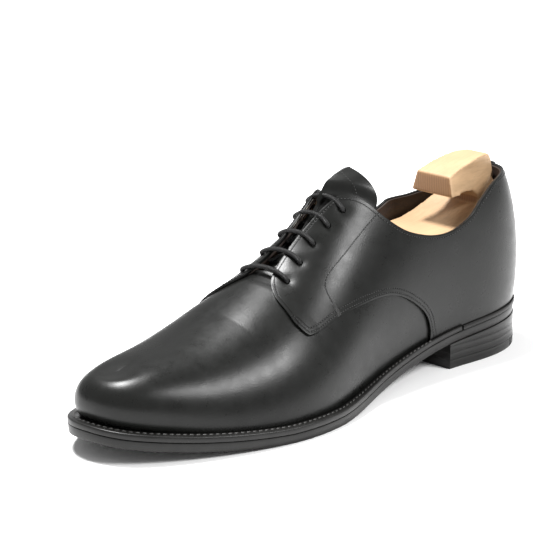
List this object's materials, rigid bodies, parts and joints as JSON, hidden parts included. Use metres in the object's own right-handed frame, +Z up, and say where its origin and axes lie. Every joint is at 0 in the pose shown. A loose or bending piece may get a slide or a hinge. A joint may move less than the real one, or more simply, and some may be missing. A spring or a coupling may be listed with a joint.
{
  "type": "leather derby shoe with shoe tree",
  "caption": "Left-foot black calf derby shoe, welted, laced over open facings, with a sprung wooden shoe tree inside.",
  "frame": {"origin": "middle of the bounding box in plan, on the ground under the heel and the ball", "axes": "+Z up, toe towards -X, heel towards +X, outer (lateral) side of the left foot towards -Y, inner side towards +Y"},
  "size_m": [0.3028, 0.1046, 0.1144],
  "materials": {
    "upper_leather": "smooth polished black calf",
    "lining_leather": "matt dark brown calf lining",
    "sole_leather": "black edge dressing, satin",
    "insole_leather": "natural vegetable tanned leather",
    "stiffener": "split leather board",
    "heel_rubber": "matt black rubber",
    "cork": "ground cork filler",
    "waxed_lace": "round braided cotton, waxed",
    "thread": "waxed black thread",
    "facing_tape": "woven cotton tape",
    "eyelet_brass": "satin",
    "spring_steel": "brushed",
    "beech": "sanded, unvarnished beech"
  },
  "bodies": {
    "shoe": {"outsole": "sole_leather", "welt": "sole_leather", "welt_stitches": "thread", "heel_rand": "sole_leather", "heel_lift_top": "sole_leather", "heel_lift_middle": "sole_leather", "heel_lift_bottom": "sole_leather", "top_piece": "sole_leather", "rubber_tip": "heel_rubber", "heel_nails": "eyelet_brass", "insole": "insole_leather", "insole_rib": "facing_tape", "cork_filler": "cork", "shank": "spring_steel", "sock_pad": "lining_leather", "toe_puff": "stiffener", "heel_counter": "stiffener", "vamp": "upper_leather", "vamp_lining": "lining_leather", "quarter_lateral": "upper_leather", "quarter_medial": "upper_leather", "quarter_lining_lateral": "lining_leather", "quarter_lining_medial": "lining_leather", "facing_stay_lateral": "facing_tape", "facing_stay_medial": "facing_tape", "hidden_eyelets": "eyelet_brass", "tongue": "upper_leather", "lace": "waxed_lace", "lace_tips": "waxed_lace", "back_strip": "upper_leather", "toe_guide_pins": "spring_steel", "tree_leaf": "spring_steel", "tree_tube": "spring_steel", "tree_spring": "spring_steel"},
    "tongue_flap": {"tongue_tip": "upper_leather"},
    "toe_half_lateral": {"toe_block_lateral": "beech"},
    "toe_half_medial": {"toe_block_medial": "beech"},
    "tree_slider": {"tree_rod": "spring_steel"},
    "heel_block": {"tree_heel_block": "beech", "tree_pin": "spring_steel"}
  },
  "joints": [
    {"name": "tongue_flex", "type": "hinge", "parent": "shoe", "child": "tongue_flap", "pos_m": [0.01665, 0.00449, 0.10523], "axis": [0, -1, 0], "range_deg": [-6, 25], "stiffness_Nm_per_rad": 0.1},
    {"name": "tree_push", "type": "slide", "parent": "shoe", "child": "tree_slider", "axis": [-1, 0, 0], "range_m": [0, 0.012], "stiffness_N_per_m": 1500, "springref_m": -0.012, "deforming": ["tree_spring"]},
    {"name": "tree_tilt", "type": "hinge", "parent": "tree_slider", "child": "heel_block", "pos_m": [0.06412, 0.00249, 0.036], "axis": [0, -1, 0], "range_deg": [0, 12]},
    {"name": "toe_squeeze_lateral", "type": "slide", "parent": "shoe", "child": "toe_half_lateral", "axis": [0, 1, 0], "range_m": [0, 0.003], "stiffness_N_per_m": 2500, "springref_m": -0.002},
    {"name": "toe_squeeze_medial", "type": "slide", "parent": "shoe", "child": "toe_half_medial", "axis": [0, -1, 0], "range_m": [0, 0.003], "stiffness_N_per_m": 2500, "springref_m": -0.002}
  ]
}
